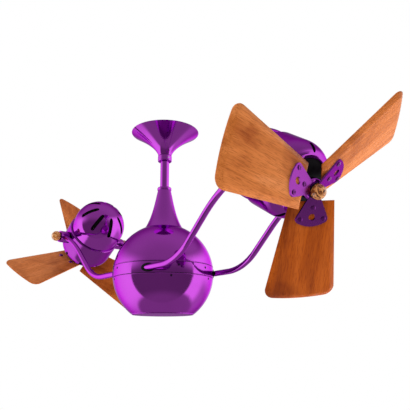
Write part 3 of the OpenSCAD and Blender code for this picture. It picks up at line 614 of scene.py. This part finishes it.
def make_blade_screws(side):
    """Nine screws with cross recesses in front and domed cap nuts behind, as one piece."""
    mesh = bmesh.new()
    recesses = bmesh.new()
    places = [(SCREW_IN, 0), (SCREW_OUT, SCREW_SIDE), (SCREW_OUT, -SCREW_SIDE)]
    for index in range(BLADES):
        for k, (radius, across) in enumerate(places):
            place = blade_matrix(side, index) @ Matrix.Translation((radius, across, 0))
            lathe(mesh, screw_head(BLADE_SCREW_R, BLADE_SCREW_H), place)
            lathe(mesh, cap_nut(-PADDLE_T - BLADE_T), place, 24)
            turned = place @ Matrix.Rotation(math.radians(25 + 40 * k), 4, "Z")
            cross(recesses, *BLADE_CROSS, turned @ Matrix.Translation((0, 0, BLADE_CROSS_AT)))
    obj = finish_piece(mesh, f"blade_screw_set_{side}", "screw_metal", f"rotor_{side}")
    cut(obj, recesses)
    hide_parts(f"blade_screws_{side}")


# ---------------------------------------------------------------- heads

def make_ball_shade_ring(side):
    """Dark ring between the ball and the blade holder, painted shade where they meet."""
    mesh = bmesh.new()
    ring(mesh, along_head(side), BALL_SHADE_RING_R, BALL_SHADE_RING_AT, SHADE_RING_THICK, steps=12)
    finish_piece(mesh, f"ball_shade_ring_{side}", "rubber", f"rotor_{side}")


def make_hub_collar(side):
    """Turned purple collar that the paddles spring from, round the holder's hub."""
    mesh = bmesh.new()
    lathe(mesh, HUB_COLLAR, along_head(side), 64)
    merge(mesh)
    obj = finish_piece(mesh, f"hub_collar_{side}", "purple_metal", f"rotor_{side}")


def make_shade_sheets(side):
    """Thin black sheets behind the cooling slots, and black collars round the tilt pins: painted
    shade inside the head and between knuckle and housing.
    """
    mesh = bmesh.new()
    place = along_head(side)
    reach = DOME_R - SHELL_T - SHADE_SHEET_T
    span = (-math.pi / 2, math.radians(-28), 16)
    outer = arc(0, -DOME_BACK, reach, *span)
    inner = arc(0, -DOME_BACK, reach - SHADE_SHEET_T, *span)
    lathe(mesh, outer + inner[::-1], place, 72)

    # Painted shade behind the front housing's round, which is a quarter of an ellipse
    inside, front = FACE_R + 0.0015, MOTOR_FRONT - 0.0028
    grow, run = MOTOR_R - 0.0025 - inside, 0.034
    skin = [(inside + grow * math.cos(a), front + run * (math.sin(a) - 1))
            for a in (math.radians(6 + 76 * k / 12) for k in range(13))]
    back = [(r - SHADE_SHEET_T, z - SHADE_SHEET_T) for r, z in skin]
    lathe(mesh, skin + back[::-1] + skin[:1], place, 72)

    # Black collars round the tilt pins: painted shade between the knuckles and the housing
    tilt_axis = head_matrix(side) @ Matrix.Translation((0, 0, -AXIS_RISE))
    for way in (-1, 1):
        lathe(mesh, PIN_SHADE_COLLAR, tilt_axis @ Matrix.Rotation(-way * math.pi / 2, 4, "X"), 40)
    merge(mesh)
    finish_piece(mesh, f"painted_shade_sheets_{side}", "shade_black", f"head_{side}")


def make_knob_shade_rings(side):
    """Black rings round the ball knobs where they sit in their knuckles, painted shade in the
    crevice.
    """
    mesh = bmesh.new()
    for way in (-1, 1):
        place = pivot_matrix(side) @ Matrix.Rotation(-way * math.pi / 2, 4, "X")
        ring(mesh, place, KNOB_SHADE_RING_R, KNOB_SHADE_RING_AT, SHADE_RING_THICK)
    finish_piece(mesh, f"knob_shade_rings_{side}", "rubber", "body")


# ---------------------------------------------------------------- body

def make_shell_screws():
    """Small domed screws round the band and the bowl."""
    mesh = bmesh.new()
    recesses = bmesh.new()
    for height, turns in SHELL_SCREWS:
        for turn in [t + half for half in (0, 180) for t in turns]:
            place = (
                Matrix.Translation((0, 0, -BODY_DROP))
                @ Matrix.Rotation(math.radians(turn), 4, "Z")
                @ Matrix.Rotation(math.pi / 2 - math.asin(height / BODY_R), 4, "Y")
                @ Matrix.Translation((0, 0, BODY_R - SHELL_SCREW_SUNK))
            )
            lathe(mesh, screw_head(SHELL_SCREW_R, SHELL_SCREW_H), place)
            turned = place @ Matrix.Rotation(math.radians(30 + turn), 4, "Z")
            cross(recesses, *SHELL_CROSS, turned @ Matrix.Translation((0, 0, SHELL_CROSS_AT)))
    obj = finish_piece(mesh, "shell_screw_set", "dark_screw", "body")
    cut(obj, recesses)
    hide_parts("shell_screws")


def make_seams():
    """Dark joint lines of the band, each with a rolled bead of the shell beside it."""
    place = Matrix.Translation((0, 0, -BODY_DROP))
    lines, beads = bmesh.new(), bmesh.new()
    for height, away in ((BAND_TOP, 1), (-BAND_BOTTOM, -1)):
        radius = math.sqrt(BODY_R ** 2 - height ** 2)
        ring(lines, place, radius - SEAM_SUNK, height, SEAM_R, segments=128)
        ring(beads, place, radius - BEAD_SUNK, height + away * BEAD_AWAY, BEAD_R, segments=128)
    for mesh, name, slot in (
        (lines, "seam_lines", "rubber"), (beads, "seam_beads", "purple_metal"),
    ):
        finish_piece(mesh, name, slot, "body")


make_shell_screws()
make_seams()
for side in "ab":
    make_shade_sheets(side)
    make_knob_shade_rings(side)
    make_blade_screws(side)
    make_ball_shade_ring(side)
    make_hub_collar(side)
    for index in range(BLADES):
        make_blade(side, index)


# ---------------------------------------------------------------- floor, light and camera

def make_floor():
    bpy.ops.mesh.primitive_plane_add(size=FLOOR_SIZE, location=(0, 0, FLOOR_Z))
    plane = bpy.context.object
    plane.name = "floor"
    mat, tree, bsdf = new_material("floor")
    set_inputs(bsdf, Base_Color=(0.9, 0.9, 0.9, 1), Roughness=0.9)
    # Near the object the floor keeps its shadow, and further out it is plain white to the camera
    far = add(tree, "ShaderNodeVectorMath", operation="LENGTH")
    tree.links.new(object_coords(tree), far.inputs[0])
    fade = map_range(tree, far.outputs["Value"], 0.8, 3.0, 0.55, 1.0)
    share = multiply_values(tree, fade, seen_directly(tree, add(tree, "ShaderNodeLightPath")))
    white = add(tree, "ShaderNodeEmission")
    mixed = mix_shaders(tree, share, bsdf.outputs[0], white.outputs[0])
    tree.links.new(mixed, tree.nodes["Material Output"].inputs["Surface"])
    plane.data.materials.append(mat)
    plane.visible_glossy = False


def area_light(name, place, size, power):
    data = bpy.data.lights.new(name, "AREA")
    data.shape = "RECTANGLE"
    data.size, data.size_y = size
    data.energy = power
    obj = bpy.data.objects.new(name, data)
    obj.location = place
    obj.rotation_euler = (MIDDLE - Vector(place)).to_track_quat("-Z", "Y").to_euler()
    obj.visible_glossy = False
    bpy.context.scene.collection.objects.link(obj)


def studio_room(tree):
    """Brightness of the room in each direction.

    Two bright side walls, a grey back and ceiling, and a dark front. All limits are cosines of the
    angle from the direction named, which is fixed to the world.
    """
    direction = add(tree, "ShaderNodeTexCoord").outputs["Generated"]

    def towards(vector):
        node = add(tree, "ShaderNodeVectorMath", operation="DOT_PRODUCT")
        node.inputs[1].default_value = vector
        tree.links.new(direction, node.inputs[0])
        return node.outputs["Value"]

    def fade(source, start, end, low=0, high=1):
        return map_range(tree, source, start, end, low, high, "SMOOTHSTEP")

    def band(source, low_end, low_full, high_full, high_end):
        return multiply_values(
            tree, fade(source, low_end, low_full), fade(source, high_full, high_end, 1, 0))

    front = towards((0.790, -0.613, 0))
    right = towards((0.613, 0.790, 0))
    height = towards((0, 0, 1))

    left_wall = multiply_values(
        tree, fade(right, -0.25, -0.80, 0, 0.95), band(height, -0.80, -0.70, 0.24, 0.60))
    right_wall = multiply_values(
        tree, fade(right, 0.00, 0.40), band(height, -0.32, 0.02, 0.36, 0.60))
    low_right = multiply_values(
        tree, fade(right, 0.30, 0.60), band(height, -0.72, -0.60, -0.30, 0.02))
    low_right = multiply_values(tree, fade(front, -0.45, -0.10, 0.25, 0.95), low_right)
    # The grey is dimmer far down, and towards the back of the ceiling
    ceiling_back = fade(front, -0.80, -0.20, 0.62, 1)
    grey = multiply_values(
        tree, fade(height, -0.85, -0.45, 0.34, 0.46),
        blend_values(tree, fade(height, 0.25, 0.50), 1, ceiling_back))
    walls = add_values(
        tree, add_values(tree, left_wall, right_wall), add_values(tree, low_right, grey))

    dark_front = add_values(
        tree, fade(height, -0.86, -0.62, 0.30, 0.175), fade(height, 0.05, 0.55, 0, 0.18))
    # Where the walls begin: a sharp edge below and a soft one above
    beside = blend_values(
        tree, fade(height, -0.05, 0.40), fade(front, 0.33, 0.27), fade(front, 0.85, 0.0))
    return blend_values(tree, beside, dark_front, walls)


def studio_world():
    """Soft light on the object, plain white for the camera, and the room for mirrors."""
    world = bpy.data.worlds.new("studio")
    bpy.context.scene.world = world
    world.use_nodes = True
    tree = world.node_tree
    tree.nodes.clear()
    soft = add(tree, "ShaderNodeBackground")
    set_inputs(soft, Color=(0.93, 0.93, 0.95, 1), Strength=SOFT_LIGHT)
    white = add(tree, "ShaderNodeBackground")
    white.inputs["Color"].default_value = (*WHITE, 1)
    room = add(tree, "ShaderNodeBackground")
    room.inputs["Color"].default_value = (*WHITE, 1)
    tree.links.new(studio_room(tree), room.inputs["Strength"])
    path = add(tree, "ShaderNodeLightPath")
    lit = mix_shaders(tree, path.outputs["Is Glossy Ray"], soft.outputs[0], room.outputs[0])
    mixed = mix_shaders(tree, seen_directly(tree, path), lit, white.outputs[0])
    output = add(tree, "ShaderNodeOutputWorld")
    tree.links.new(mixed, output.inputs["Surface"])


make_floor()
for name, (place, size, power) in LAMPS.items():
    area_light(name, place, size, power)
studio_world()

camera_data = bpy.data.cameras.new("camera")
camera = bpy.data.objects.new("camera", camera_data)
bpy.context.scene.collection.objects.link(camera)
camera.location = CAMERA_AT
camera.rotation_euler = CAMERA_TOWARDS.to_track_quat("-Z", "Y").to_euler()
camera_data.sensor_width = 36
camera_data.lens = CAMERA_LENS
camera_data.shift_x, camera_data.shift_y = CAMERA_SHIFT
bpy.context.scene.camera = camera
bpy.context.scene.view_settings.view_transform = "Standard"
